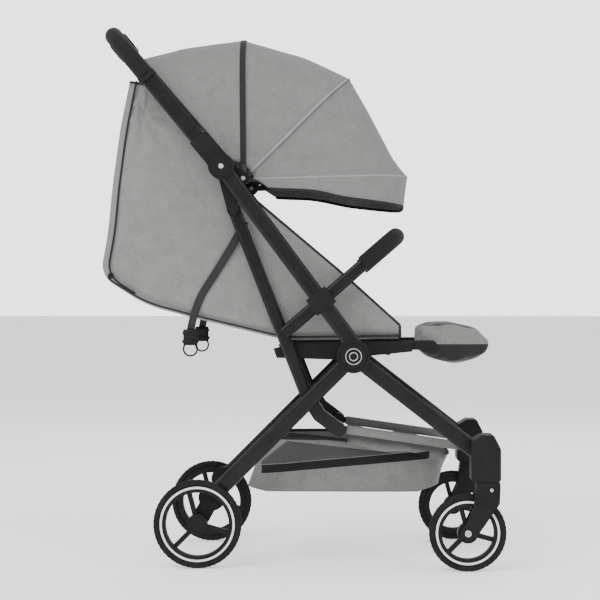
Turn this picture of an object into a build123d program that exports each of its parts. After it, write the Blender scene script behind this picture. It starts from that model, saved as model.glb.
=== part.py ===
from build123d import *
import os
from math import atan2, cos, degrees, hypot, radians, sin

# A compact folding stroller. +X points forward, +Y to the child's left, +Z up.
# Points are (x, z) in the side view. Everything is in millimetres.

# Wheels
rear_wheel_radius = 82.0
front_wheel_radius = 71.0
wheel_width = 20.0
tyre_depth = 11.0
rim_depth = 12.0
trim_depth = 4.0
trim_thickness = 1.2
spoke_width = 9.0
spoke_thickness = 9.0
hub_radius = 19.0
wheel_cap_radius = 13.0
wheel_cap_height = 2.0

# Frame points in the side view
upper_hinge = (-218.3, 747.4)
lower_hinge = (26.8, 395.3)
main_tube_end = (31.5, 410.7)
crank_end = (-198.0, 669.7)
bumper_pivot = (-33.3, 497.6)
bumper_foot = (-103.6, 436.6)
strut_knee = (-62.0, 322.0)
strut_elbow = (-37.0, 283.0)
strut_foot = (-1.0, 256.0)
basket_pivot = (240.0, 222.0)
front_leg_end = (262.0, 212.6)
swivel_x = 272.0
front_trail = 35.0
rear_leg_end = (-232.0, 136.0)
rear_housing_centre = (-238.0, 130.0)
rear_axle_x = -264.0
canopy_pivot = (-179.4, 727.4)

# Handle and bumper bar
handle_reach = 329.0
handle_angle = 129.6
handle_corner = 70.0
grip_radius = 16.5
grip_start = 226.0
collar_length = 12.0
bumper_reach = 186.5
bumper_corner = 60.0
bumper_grip_start = 105.0

# Tube sections and the layers across the stroller, each the distance of a
# tube's middle from the centre plane
tube_wide = 30.0
tube_thick = 16.0
tube_wall = 1.6
handle_tube_thick = 12.0
bumper_tube_wide = 24.0
bumper_tube_thick = 14.0
strut_wide = 24.0
strut_thick = 14.0
cross_tube_radius = 9.0
rail_radius = 7.0
main_layer = 216.0
leg_layer = 197.0
rear_leg_layer = 178.0
strut_layer = 160.0
rail_layer = 133.0
front_wheel_layer = 231.0
rear_wheel_layer = 199.5

# Joints
pin_radius = 5.0
leg_pin_radius = 6.0
pin_clearance = 0.1
side_clearance = 1.0
upper_hub_radius = 24.0
lower_hub_radius = 31.0
lever_wide = 22.0
stub_length = 3.0

# Front swivel and fork
fork_arm_thick = 7.0
fork_gap = 2.0
crown_low = 147.0
crown_high = 164.0
housing_low = 165.0
housing_high = 252.0
housing_back = 243.0
housing_front = 297.0
stem_radius = 7.0
stem_top = 215.0

# Seat, canopy and basket
seat_half_width = 150.0
fabric_wall = 4.0
rail_plate_thick = 8.0
canopy_half_width = 176.0
canopy_wall = 3.0
bow_thick = 4.0
bow_wide = 12.0
rear_bow_reach = 262.0
middle_bow_reach = 272.0
front_bow_reach = 281.0
rear_bow_angle = 90.5
middle_bow_angle = 44.5
front_bow_angle = 1.5
seam_gap = 0.4
basket_half_width = 118.0
basket_wall = 3.0
legrest_half_width = 128.0
legrest_pivot = (126.0, 414.0)

nodes = {}


def direction(start, end):
    """Angle of the line from start to end above the X axis, in degrees."""
    return degrees(atan2(end[1] - start[1], end[0] - start[0]))


def distance(start, end):
    return hypot(end[0] - start[0], end[1] - start[1])


def along(start, angle, reach):
    """The point at that distance from start, at that angle above the X axis."""
    return (start[0] + reach * cos(radians(angle)), start[1] + reach * sin(radians(angle)))


def placed(shape, point, angle):
    """Turns a shape drawn along +X to that angle and moves it to a side-view point."""
    return Pos(point[0], 0, point[1]) * Rot(0, -angle, 0) * shape


def across(point, radius, low, high):
    """A round bar across the stroller, from y = low to y = high."""
    return Pos(point[0], (low + high) / 2, point[1]) * Rot(90, 0, 0) * Cylinder(radius, high - low)


def plate(points, low, high):
    """A side-view outline, extruded from y = low to y = high."""
    outline = Plane.XZ * make_face(Polyline(*points, close=True))
    return Pos(0, high, 0) * extrude(outline, amount=high - low)


def link(start, end, wide, low, high):
    """A flat link with round ends, from y = low to y = high."""
    body = Pos(distance(start, end) / 2, (low + high) / 2, 0) * Box(distance(start, end), high - low, wide)
    return (placed(body, start, direction(start, end)) + across(start, wide / 2, low, high)
            + across(end, wide / 2, low, high))


def bar(start, end, layer, wide, thick, skip=0.0, inset=0.0):
    """A solid oval bar between two side-view points; inset draws it smaller all round."""
    section = RectangleRounded(thick - 2 * inset, wide - 2 * inset, (thick - 2 * inset) * 0.45)
    body = extrude(Plane.YZ * section, amount=distance(start, end) - skip)
    return placed(Pos(skip, layer, 0) * body, start, direction(start, end))


def hoop(reach, half_width, corner, start, section):
    """A section swept along a U in the XY plane, its two legs starting at x = start."""
    path = FilletPolyline((start, -half_width), (reach, -half_width), (reach, half_width),
                          (start, half_width), radius=corner)
    return sweep(Plane(origin=(start, -half_width, 0), z_dir=(1, 0, 0), x_dir=(0, 1, 0)) * section, path=path)


def add_pair(name, left):
    """Adds a left-hand piece and its mirror image as two nodes."""
    nodes[name + "_left"] = left
    nodes[name + "_right"] = mirror(left, about=Plane.XZ)


def add_both(name, left):
    """Adds a left-hand piece and its mirror image as one node."""
    nodes[name] = Compound(children=[*left.solids(), *mirror(left, about=Plane.XZ).solids()])


# ---- Wheels
def wheel_parts(radius):
    """Tyre, rim and trim ring about the Y axis, with the outer face towards +Y."""
    rim_radius = radius - tyre_depth
    inner_radius = rim_radius - rim_depth
    half = wheel_width / 2
    section = Pos((radius + rim_radius) / 2, 0) * RectangleRounded(tyre_depth, wheel_width, tyre_depth * 0.4)
    tyre = revolve(Plane.XY * section, axis=Axis.Y)
    band = Rot(90, 0, 0) * (Cylinder(rim_radius, wheel_width - 3) - Cylinder(inner_radius, wheel_width))
    boss = Rot(90, 0, 0) * Cylinder(hub_radius, wheel_width)
    rim = band + boss
    for turn in (15, 135, 255):
        spoke = Pos(inner_radius / 2 + rim_depth / 4, 0, 0) * Box(inner_radius + rim_depth / 2,
                                                                 spoke_thickness, spoke_width)
        rim = rim + Rot(0, turn, 0) * spoke
    groove_middle = rim_radius - trim_depth / 2 - 1
    trim_y = half - 1.5 - trim_thickness / 2
    trim = Pos(0, trim_y, 0) * Rot(90, 0, 0) * (
        Cylinder(groove_middle + trim_depth / 2, trim_thickness)
        - Cylinder(groove_middle - trim_depth / 2, trim_thickness))
    return tyre, rim - trim, trim


def add_wheels(name, radius, x, layer, axle_radius, capped):
    tyre, rim, trim = wheel_parts(radius)
    bore = Rot(90, 0, 0) * Cylinder(axle_radius + pin_clearance, wheel_width + 2)
    if capped:
        cap = Pos(0, wheel_width / 2 + wheel_cap_height / 2, 0) * Rot(90, 0, 0) * Cylinder(
            wheel_cap_radius, wheel_cap_height)
        rim = (rim - bore) + cap
    else:
        rim = rim - bore
    place = Pos(x, layer, radius)
    add_pair("tyre_" + name, place * tyre)
    add_pair("rim_" + name, place * rim)
    add_pair("trim_ring_" + name, place * trim)


front_axle = (swivel_x - front_trail, front_wheel_radius)
rear_axle = (rear_axle_x, rear_wheel_radius)
front_axle_radius = 4.0
add_wheels("front", front_wheel_radius, front_axle[0], front_wheel_layer, front_axle_radius, False)
add_wheels("rear", rear_wheel_radius, rear_axle[0], rear_wheel_layer, pin_radius, True)

# ---- Main tubes with the two hubs on each side
tube_half = tube_thick / 2
main_low = main_layer - tube_half
main_high = main_layer + tube_half
main_start = along(upper_hinge, direction(upper_hinge, main_tube_end), 12)
main_envelope = bar(main_start, main_tube_end, main_layer, tube_wide, tube_thick)
main_tube = main_envelope - bar(main_start, main_tube_end, main_layer, tube_wide, tube_thick, inset=tube_wall)
add_pair("main_tube", main_tube)

upper_pin_low = 172.0
upper_pin = across(upper_hinge, pin_radius, upper_pin_low, main_high + 4)
upper_hub = across(upper_hinge, upper_hub_radius, main_low - side_clearance, main_high + 4)
add_both("upper_hubs", upper_hub - main_envelope - upper_pin)

lower_pin_low = seat_half_width - 10
lower_pin = across(lower_hinge, leg_pin_radius, lower_pin_low, main_high + 6)
lower_hub = across(lower_hinge, lower_hub_radius, main_low - side_clearance, main_high + 6)
add_both("lower_hubs", lower_hub - main_envelope - lower_pin)
cap_height = 4.0
add_both("hub_caps", across(lower_hinge, lower_hub_radius - 8, main_high + 6, main_high + 6 + cap_height)
         + across(upper_hinge, upper_hub_radius - 5, main_high + 4, main_high + 4 + cap_height / 2))

# ---- Canopy bracket, fixed on the inner end of the upper pin
bracket_low = canopy_half_width + 2
bracket_high = leg_layer - tube_half - 2
bracket = link(upper_hinge, canopy_pivot, 24, bracket_low, bracket_high) - upper_pin
canopy_pin = across(canopy_pivot, 4, 154, bracket_high)
add_both("canopy_brackets", (bracket - canopy_pin))
add_both("pivot_pins", upper_pin + lower_pin + canopy_pin)

# ---- Bumper bracket, clamped on the main tube
clamp_half = 18.0
clamp_axis = direction(upper_hinge, main_tube_end)
clamp_start = along(bumper_pivot, clamp_axis, -clamp_half)
clamp = placed(Pos(clamp_half, main_layer, 0) * Box(2 * clamp_half, tube_thick + 4, tube_wide + 14),
               clamp_start, clamp_axis)
clamp = clamp - main_envelope
bumper_pin_low = rear_leg_layer - tube_half
bumper_pin = across(bumper_pivot, pin_radius, bumper_pin_low, main_low - 2)
add_both("bumper_brackets", clamp + bumper_pin)

# ---- Handle: a U tube with a soft grip, and a hub with a lever on each side
handle_section = RectangleRounded(handle_tube_thick, tube_wide, handle_tube_thick * 0.45)
handle_bore = RectangleRounded(handle_tube_thick - 2 * tube_wall, tube_wide - 2 * tube_wall,
                               (handle_tube_thick - 2 * tube_wall) * 0.45)
handle_envelope = hoop(handle_reach, leg_layer, handle_corner, 14, handle_section)
handle_tube = handle_envelope - hoop(handle_reach, leg_layer, handle_corner, 14, handle_bore)
handle_grip = hoop(handle_reach, leg_layer, handle_corner, grip_start, Circle(grip_radius)) - handle_envelope
nodes["handle_tube"] = placed(handle_tube, upper_hinge, handle_angle)
nodes["handle_grip"] = placed(handle_grip, upper_hinge, handle_angle)

leg_low = leg_layer - tube_half
leg_high = leg_layer + tube_half
collar = Pos(grip_start - collar_length / 2, leg_layer, 0) * Box(collar_length, tube_thick + 8, tube_wide + 6)
collar = fillet(collar.edges().filter_by(Axis.X), 8) - handle_envelope
add_both("grip_collars", placed(collar, upper_hinge, handle_angle))

sleeve = Pos(36, leg_layer, 0) * Box(72, tube_thick - 0.6, tube_wide + 6)
handle_hub = (across(upper_hinge, upper_hub_radius, leg_low, leg_high - 0.3)
              + placed(sleeve, upper_hinge, handle_angle)
              + link(upper_hinge, crank_end, lever_wide, leg_low, leg_high - 0.3))
handle_hub = handle_hub - placed(handle_envelope, upper_hinge, handle_angle)
handle_hub = handle_hub - across(upper_hinge, pin_radius + pin_clearance, leg_low - 1, leg_high + 1)
crank_pin = across(crank_end, pin_radius, strut_layer - strut_thick / 2, leg_low)
add_both("handle_hubs", handle_hub + crank_pin)

button_travel = 4.0
button = Pos(handle_reach - 29, 0, 0) * Box(16, 30, 14)
button = fillet(button.edges().filter_by(Axis.X), 4)
grip_envelope = hoop(handle_reach, leg_layer, handle_corner, grip_start, Circle(grip_radius))
block = (Pos(handle_reach - 8, 0, 0) * Box(46, 64, 40))
block = fillet(block.edges().filter_by(Axis.Y), 12) - grip_envelope
pocket = Pos(handle_reach - 29, 0, 0) * Box(20, 31, 15)
nodes["fold_button_block"] = placed(block - pocket, upper_hinge, handle_angle)
nodes["fold_button"] = placed(Pos(-button_travel - 1, 0, 0) * button, upper_hinge, handle_angle)

# ---- Struts from the levers down to the basket rails
strut_low = strut_layer - strut_thick / 2
strut_high = strut_layer + strut_thick / 2
strut = bar(crank_end, strut_knee, strut_layer, strut_wide, strut_thick)
strut = strut + across(crank_end, 13, strut_low, strut_high)
strut = strut + link(strut_knee, strut_elbow, 26, strut_low, strut_high)
strut = strut + link(strut_elbow, strut_foot, 26, strut_low, strut_high)
strut = strut - across(crank_end, pin_radius + pin_clearance, strut_low - 1, strut_high + 1)
strut = strut + across(strut_foot, leg_pin_radius, strut_low - stub_length, strut_low)
add_both("struts", strut)


# ---- Legs
def leg(end, layer):
    """A hollow leg with a round eye on the lower hinge pin, and its outside envelope."""
    low = layer - tube_half
    high = layer + tube_half
    envelope = bar(lower_hinge, end, layer, tube_wide, tube_thick)
    inside = bar(lower_hinge, end, layer, tube_wide, tube_thick, skip=24, inset=tube_wall)
    body = envelope + across(lower_hinge, 20, low, high) - inside
    return body - across(lower_hinge, leg_pin_radius + pin_clearance, low - 1, high + 1), envelope


front_leg, front_envelope = leg(front_leg_end, leg_layer)
add_pair("front_leg", front_leg)
rear_leg, rear_envelope = leg(rear_leg_end, rear_leg_layer)
add_pair("rear_leg", rear_leg)
front_inner = leg_low - 2
nodes["front_cross_tube"] = (across(basket_pivot, cross_tube_radius, -front_inner, front_inner)
                             - across(basket_pivot, cross_tube_radius - tube_wall, -front_inner, front_inner))

# ---- Front housings, which hold the swivel stems of the forks
arm_out_low = front_wheel_layer + wheel_width / 2 + fork_gap
fork_high = arm_out_low + fork_arm_thick
arm_in_high = front_wheel_layer - wheel_width / 2 - fork_gap
fork_low = arm_in_high - fork_arm_thick
housing = plate([(housing_back, housing_low), (housing_front, housing_low), (housing_front, 226),
                 (284, housing_high), (264, housing_high), (housing_back, 240)], front_inner, fork_high)
housing = fillet(housing.edges().filter_by(Axis.Y), 7)
stem_bore = Pos(swivel_x, front_wheel_layer, (housing_low + stem_top) / 2) * Cylinder(
    stem_radius + pin_clearance, stem_top - housing_low + 2)
add_pair("front_housing", housing - front_envelope - stem_bore)

crown_width = fork_high - fork_low
crown = Pos(274, (fork_low + fork_high) / 2, (crown_low + crown_high) / 2) * Box(
    44, crown_width, crown_high - crown_low)
arm_points = [(252, crown_high - 1), (296, crown_high - 1), (295, 126), (250, 61), (225, 72), (247, 120)]
fork = crown
for low, high in ((fork_low, arm_in_high), (arm_out_low, fork_high)):
    fork = fork + plate(arm_points, low, high) + across(front_axle, 14, low, high)
fork = fork + Pos(swivel_x, front_wheel_layer, (crown_high + stem_top) / 2 - 1) * Cylinder(
    stem_radius, stem_top - crown_high - 2)
fork = fork + across(front_axle, front_axle_radius, fork_low, fork_high)
add_pair("fork", fork)

# ---- Rear housings with the axle stubs, the cross tube and the brake pedal
rear_low = rear_leg_layer - tube_half - 2
rear_high = rear_leg_layer + tube_half + 2
rear_housing = (across(rear_housing_centre, 25, rear_low, rear_high)
                + link(rear_housing_centre, rear_axle, 32, rear_low, rear_high))
rear_housing = rear_housing - rear_envelope
rear_housing = rear_housing + across(rear_axle, pin_radius, rear_high, rear_wheel_layer + wheel_width / 2 - 1)
add_pair("rear_housing", rear_housing)
nodes["rear_cross_tube"] = (across(rear_housing_centre, cross_tube_radius, -rear_low, rear_low)
                            - across(rear_housing_centre, cross_tube_radius - tube_wall, -rear_low, rear_low))
pedal_ring = 14.0
pedal_low = -150.0
pedal_high = -96.0
pedal = across(rear_housing_centre, pedal_ring, pedal_low, pedal_high)
lever_tip = along(rear_housing_centre, 158, 52)
pedal = pedal + link(rear_housing_centre, lever_tip, 10, pedal_low, pedal_high)
nodes["brake_pedal"] = pedal - across(rear_housing_centre, cross_tube_radius + pin_clearance,
                                      pedal_low - 1, pedal_high + 1)

# ---- Basket rails
rail_low = rail_layer - rail_radius
rail_high = rail_layer + rail_radius
rail_angle = direction(strut_foot, basket_pivot)
rail = placed(Pos(distance(strut_foot, basket_pivot) / 2, rail_layer, 0) * Rot(0, 90, 0) * Cylinder(
    rail_radius - 0.5, distance(strut_foot, basket_pivot)), strut_foot, rail_angle)
rail = rail + across(strut_foot, 13, rail_low, rail_high) + across(basket_pivot, 14, rail_low, rail_high)
add_both("basket_rails", rail - across(basket_pivot, cross_tube_radius + pin_clearance, rail_low - 1, rail_high + 1))

# ---- Basket
basket_top = [(-140, 236), (-2, 236), (214, 204)]
basket_bottom = [(222, 186), (196, 152), (150, 137), (-17, 133), (-143, 136), (-186, 146)]
basket_inner = [(-136, 260), (-2, 260), (206, 230), (215, 188), (193, 157), (149, 141), (-17, 137),
                (-142, 140), (-178, 148)]
basket = plate(basket_top + basket_bottom, -basket_half_width, basket_half_width)
basket = basket - plate(basket_inner, -basket_half_width + basket_wall, basket_half_width - basket_wall)
nodes["basket"] = basket

# ---- Seat frame
seat_low = seat_half_width - 1 - rail_plate_thick
seat_high = seat_half_width - 1
seat_rail = plate([(-124, 408), (-118, 390), (20, 386), (60, 394), (138, 402), (140, 422), (40, 421), (-80, 418)],
                  seat_low, seat_high)
seat_rail = seat_rail + across(lower_hinge, 24, seat_low, seat_high)
seat_rail = seat_rail - lower_pin - across(legrest_pivot, 4 + pin_clearance, seat_low - 1, seat_high + 1)
add_both("seat_rails", seat_rail)
seat_tubes = []
for tube_place in ((-106, 400), (92, 404)):
    tube = across(tube_place, cross_tube_radius, -seat_low, seat_low)
    seat_tubes.append(tube - across(tube_place, cross_tube_radius - tube_wall, -seat_low, seat_low))
nodes["seat_cross_tubes"] = Compound(children=seat_tubes)

# ---- Seat shell: a cloth tub with two sides, a back and a bottom
shell_back = [(-398, 914), (-417, 820), (-432, 707), (-440, 622), (-455, 546), (-366, 490), (-272, 465),
              (-102, 424), (115, 427)]
shell_front = [(115, 452), (11, 546), (-168, 697), (-221, 752), (-357, 905)]
shell_hollow = [(-394, 925), (-413, 820), (-428, 707), (-436, 622), (-450, 549), (-365, 494.3), (-271, 469.3),
                (-101.5, 428.3), (130, 431), (130, 470), (11, 600), (-168, 760), (-221, 800), (-357, 960)]
shell = plate(shell_back + shell_front, -seat_half_width, seat_half_width)
shell_inside = seat_half_width - fabric_wall
nodes["seat_shell"] = shell - plate(shell_hollow, -shell_inside, shell_inside)

pad_half_width = shell_inside - 5
pad = plate([(-92, 433), (116, 435), (114, 456), (-88, 458)], -pad_half_width, pad_half_width)
nodes["seat_cushion"] = fillet(pad.edges().filter_by(Axis.Y), 6)
backrest_pivot = (-112.0, 446.0)
backrest_end = (-432.0, 562.0)
backrest_thick = 22.0
backrest_roll = 7.0
back = placed(Pos(0, 0, 0) * Pos(distance(backrest_pivot, backrest_end) / 2, 0, -backrest_thick / 2 + 6) * Box(
    distance(backrest_pivot, backrest_end), 2 * pad_half_width, backrest_thick), backrest_pivot,
    direction(backrest_pivot, backrest_end))
back = fillet(back.edges().filter_by(Axis.Y), 6)
nodes["backrest"] = back + across(backrest_pivot, backrest_roll, -pad_half_width, pad_half_width)

# ---- Recline straps with buckles and rings, outside the shell
strap_low = seat_half_width + 0.6
strap_high = strap_low + 1.8
strap_path = [(-281, 452), (-262, 506), (-196, 612)]
strap = link(strap_path[0], strap_path[1], 15, strap_low, strap_high)
strap = strap + link(strap_path[1], strap_path[2], 15, strap_low, strap_high)
add_both("recline_straps", strap)
buckle_centre = (-281.0, 429.0)
buckle = Pos(buckle_centre[0], seat_half_width + 1, buckle_centre[1]) * Box(28, 9, 30)
buckle = fillet(buckle.edges().filter_by(Axis.Y), 5)
ring = Pos(buckle_centre[0], seat_half_width + 1, buckle_centre[1] - 22) * Rot(90, 0, 0) * Torus(13, 1.8)
add_both("strap_buckles", buckle)
add_both("strap_rings", ring - buckle)


# ---- Canopy: three cloth sections on three bows that share one pivot
def bow(reach, angle, half_width, name):
    section = RectangleRounded(bow_thick, bow_wide, 1.5)
    hoop_body = hoop(reach, half_width - bow_thick / 2, 80, 6, section)
    eyes = []
    for sign in (-1, 1):
        middle = sign * (half_width - bow_thick / 2)
        eyes.append(Pos(0, middle, 0) * Rot(90, 0, 0) * Cylinder(9, bow_thick))
    body = hoop_body + eyes[0] + eyes[1] - Rot(90, 0, 0) * Cylinder(4 + pin_clearance, 2 * half_width + 2)
    nodes[name] = placed(body, canopy_pivot, angle)


bow(rear_bow_reach, rear_bow_angle, 171, "rear_bow")
bow(middle_bow_reach, middle_bow_angle, 165, "middle_bow")
bow(front_bow_reach, front_bow_angle, 159, "front_bow")


def canopy_section(top, root_low, root_high):
    """Cloth between two rays from the pivot: two side walls and a top, open on the rays."""
    outline = [root_low, *top, root_high]
    outer = plate(outline, -canopy_half_width, canopy_half_width)
    inner_half = canopy_half_width - canopy_wall
    lowered = []
    for x, z in top:
        reach = distance(canopy_pivot, (x, z))
        lowered.append(along(canopy_pivot, direction(canopy_pivot, (x, z)), reach - canopy_wall - 1))
    first = along(lowered[0], direction(lowered[1], lowered[0]), 60)
    last = along(lowered[-1], direction(lowered[-2], lowered[-1]), 60)
    low_first = along(root_low, direction(canopy_pivot, root_low) - 180, 120)
    low_last = along(root_high, direction(canopy_pivot, root_high) - 180, 120)
    hollow = plate([low_first, first, *lowered, last, low_last], -inner_half, inner_half)
    return outer - hollow


def ray(angle, reach, side):
    """A point on a ray from the canopy pivot, moved a seam gap to one side of it."""
    point = along(canopy_pivot, angle, reach)
    return along(point, angle + 90, side * seam_gap / 2)


nodes["canopy_rear"] = canopy_section([ray(rear_bow_angle, 270, 1), (-290, 984), (-378, 962)],
                                      ray(rear_bow_angle, 26, 1), (-206, 764))
nodes["canopy_middle"] = canopy_section([ray(middle_bow_angle, 280, 1), (-60, 972), ray(rear_bow_angle, 270, -1)],
                                        ray(middle_bow_angle, 18, 1), ray(rear_bow_angle, 26, -1))
front_section = canopy_section([ray(front_bow_angle, 311, 1), (110, 760), (64, 868),
                                ray(middle_bow_angle, 280, -1)],
                               ray(front_bow_angle, 18, 1), ray(middle_bow_angle, 18, -1))
visor_low = [(124, 676), (-60, 702), (-130, 708)]
visor = plate([ray(front_bow_angle, 18, 1), ray(front_bow_angle, 311, 1), *visor_low],
              -canopy_half_width, canopy_half_width)
visor_hollow = plate([(-200, 760), (127, 760), (119, 660), (-140, 660)],
                     -canopy_half_width + canopy_wall, canopy_half_width - canopy_wall)
nodes["canopy_front"] = front_section + (visor - visor_hollow)

# ---- Bumper bar
bumper_angle = direction(bumper_foot, bumper_pivot)
foot_reach = distance(bumper_foot, bumper_pivot)
bumper_section = RectangleRounded(bumper_tube_thick, bumper_tube_wide, bumper_tube_thick * 0.45)
bumper_bore = RectangleRounded(bumper_tube_thick - 2 * tube_wall, bumper_tube_wide - 2 * tube_wall,
                               (bumper_tube_thick - 2 * tube_wall) * 0.45)
bumper_envelope = hoop(bumper_reach, rear_leg_layer, bumper_corner, -foot_reach, bumper_section)
bumper_inside = hoop(bumper_reach, rear_leg_layer, bumper_corner, 24, bumper_bore)
bumper_eyes = Pos(0, 0, 0) * Rot(90, 0, 0) * Cylinder(16, 2 * (rear_leg_layer + bumper_tube_thick / 2))
bumper_eyes = bumper_eyes - Box(60, 2 * (rear_leg_layer - bumper_tube_thick / 2), 60)
bumper_hole = Rot(90, 0, 0) * Cylinder(pin_radius + pin_clearance, 500)
bumper = bumper_envelope + bumper_eyes - bumper_inside - bumper_hole
bumper_grip = hoop(bumper_reach, rear_leg_layer, bumper_corner, bumper_grip_start, Circle(grip_radius))
nodes["bumper_bar"] = placed(bumper, bumper_pivot, bumper_angle)
nodes["bumper_grip"] = placed(bumper_grip - bumper_envelope, bumper_pivot, bumper_angle)

# ---- Legrest
legrest_inner = seat_low - 1
arm_thick = 6.0
legrest_arm = link(legrest_pivot, (176, 414), 18, legrest_inner - arm_thick, legrest_inner)
legrest_arm = legrest_arm + across(legrest_pivot, 4, legrest_inner, seat_high + 1)
add_both("legrest_arms", legrest_arm)
legrest = plate([(146, 452), (212, 455), (262, 444), (292, 420), (282, 396), (222, 378), (150, 398)],
                -legrest_half_width, legrest_half_width)
nodes["legrest_pad"] = fillet(legrest.edges().filter_by(Axis.Y), 7)

# ---- The origin is on the floor, under the middle of the overall box
low_x = min(shape.bounding_box().min.X for shape in nodes.values())
high_x = max(shape.bounding_box().max.X for shape in nodes.values())
low_z = min(shape.bounding_box().min.Z for shape in nodes.values())
origin_shift = (-(low_x + high_x) / 2, 0.0, -low_z)

if __name__ == "__main__":
    os.makedirs("parts", exist_ok=True)
    for name, shape in nodes.items():
        export_step(Pos(*origin_shift) * shape, os.path.join("parts", name + ".step"))
    print("origin shift", origin_shift, "nodes", len(nodes))
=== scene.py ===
import bpy
import bmesh
from math import atan2, cos, exp, hypot, pi, radians, sin
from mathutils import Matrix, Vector


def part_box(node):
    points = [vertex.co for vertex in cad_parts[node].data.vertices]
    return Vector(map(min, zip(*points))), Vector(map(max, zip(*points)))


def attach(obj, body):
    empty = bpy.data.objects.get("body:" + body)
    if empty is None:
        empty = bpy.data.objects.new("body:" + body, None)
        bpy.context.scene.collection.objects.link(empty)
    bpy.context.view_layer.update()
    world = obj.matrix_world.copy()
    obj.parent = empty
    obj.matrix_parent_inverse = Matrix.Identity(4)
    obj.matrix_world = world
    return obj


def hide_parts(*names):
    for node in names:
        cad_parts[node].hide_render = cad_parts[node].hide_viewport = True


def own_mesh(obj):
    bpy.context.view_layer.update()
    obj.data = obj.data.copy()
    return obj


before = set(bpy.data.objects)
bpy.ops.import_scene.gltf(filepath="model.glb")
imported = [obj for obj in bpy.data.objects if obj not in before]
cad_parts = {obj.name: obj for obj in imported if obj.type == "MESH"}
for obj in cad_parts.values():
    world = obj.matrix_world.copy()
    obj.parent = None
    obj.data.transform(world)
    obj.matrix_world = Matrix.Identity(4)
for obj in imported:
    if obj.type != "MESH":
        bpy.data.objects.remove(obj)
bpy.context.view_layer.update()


# ---- Tyres, rims and trim rings
# Foam-filled rubber tyres on black moulded rims with three spokes. A thin white
# ring is pressed into a groove on each rim's outer face.
class Shade:
    """A shader value that sums can be written on."""

    def __init__(self, tree, socket):
        self.tree = tree
        self.socket = socket

    def node(self, kind, settings, values, output=0):
        """Adds any other node, with its settings and the values or links of its sockets."""
        made = self.tree.nodes.new(kind)
        for key, value in settings.items():
            setattr(made, key, value)
        for key, value in values.items():
            if isinstance(value, Shade):
                self.tree.links.new(value.socket, made.inputs[key])
            else:
                made.inputs[key].default_value = value
        return Shade(self.tree, made.outputs[output])

    def maths(self, operation, first, second):
        return self.node("ShaderNodeMath", {"operation": operation}, {0: first, 1: second})

    def __add__(self, other):
        return self.maths("ADD", self, other)

    def __radd__(self, other):
        return self.maths("ADD", other, self)

    def __sub__(self, other):
        return self.maths("SUBTRACT", self, other)

    def __rsub__(self, other):
        return self.maths("SUBTRACT", other, self)

    def __mul__(self, other):
        return self.maths("MULTIPLY", self, other)

    def __gt__(self, other):
        return self.maths("GREATER_THAN", self, other)

    def __lt__(self, other):
        return self.maths("LESS_THAN", self, other)

    def wave(self):
        return self.maths("SINE", self, 0.0)

    def size(self):
        return self.maths("ABSOLUTE", self, 0.0)

    def mix(self, first, second):
        """The colour that is first where this value is 0, and second where it is 1."""
        return self.node("ShaderNodeMix", {"data_type": "RGBA"}, {0: self, 6: first, 7: second}, 2)

    def grain(self, scale, detail=2.0):
        """A noise between 0 and 1, on these coordinates."""
        return self.node("ShaderNodeTexNoise", {}, {"Vector": self, "Scale": scale, "Detail": detail}, "Fac")

    def part(self, axis):
        return self.node("ShaderNodeSeparateXYZ", {}, {"Vector": self}, axis)

    def relief(self, strength, depth):
        """A bump of this height."""
        values = {"Strength": strength, "Distance": depth, "Height": self}
        return self.node("ShaderNodeBump", {}, values, "Normal")


def new_finish(name, sockets):
    """A material, its shader's inputs, and the object coordinates that its patterns start from."""
    material = bpy.data.materials.new(name)
    material.use_nodes = True
    tree = material.node_tree
    shader = tree.nodes["Principled BSDF"]
    for socket, value in sockets.items():
        shader.inputs[socket].default_value = value
    coords = tree.nodes.new("ShaderNodeTexCoord")
    return material, shader.inputs, Shade(tree, coords.outputs["Object"])


def feed(inputs, **shades):
    """Links shades to the shader's inputs; a low line in a name stands for a space."""
    for name, shade in shades.items():
        shade.tree.links.new(shade.socket, inputs[name.replace("_", " ")])


def dress(material, *names):
    """Gives CAD pieces their finish."""
    for name in names:
        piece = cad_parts[name]
        if not piece.material_slots:
            piece.data.materials.append(material)
        for slot in piece.material_slots:
            slot.material = material


rubber, inputs, place = new_finish("tyre_rubber", {"Specular IOR Level": 0.1})
dust = place.grain(45.0, 4.0)
feed(inputs, Base_Color=dust.mix((0.006, 0.006, 0.0065, 1), (0.02, 0.0195, 0.019, 1)),
     Roughness=0.62 + dust * 0.2, Normal=(place.grain(900.0) + place.grain(160.0) * 2.0).relief(0.35, 0.0006))
moulded, inputs, place = new_finish("moulded_black_plastic", {"Specular IOR Level": 0.13})
scuff = place.grain(60.0, 3.0)
feed(inputs, Base_Color=scuff.mix((0.005, 0.005, 0.0055, 1), (0.013, 0.013, 0.014, 1)),
     Roughness=0.3 + scuff * 0.22, Normal=place.grain(1500.0).relief(0.22, 0.0003))
white_ring, inputs, place = new_finish("white_trim_ring", {"Coat Weight": 0.2})
feed(inputs, Base_Color=place.grain(90.0).mix((0.62, 0.62, 0.6, 1), (0.82, 0.82, 0.8, 1)),
     Roughness=0.35 + place.grain(200.0) * 0.15)
corners = [end + side for end in ("front_", "rear_") for side in ("left", "right")]
dress(rubber, *["tyre_" + corner for corner in corners])
dress(moulded, *["rim_" + corner for corner in corners])
dress(white_ring, *["trim_ring_" + corner for corner in corners])


# ---- Tread ribs
# Low rubber bars across each tyre, moulded with it. They stand a little out of
# the tread, so that the tyre doesn't look turned on a lathe.
rib_pitch = 0.0105
rib_size = (0.0038, 0.012, 0.0014)


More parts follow.
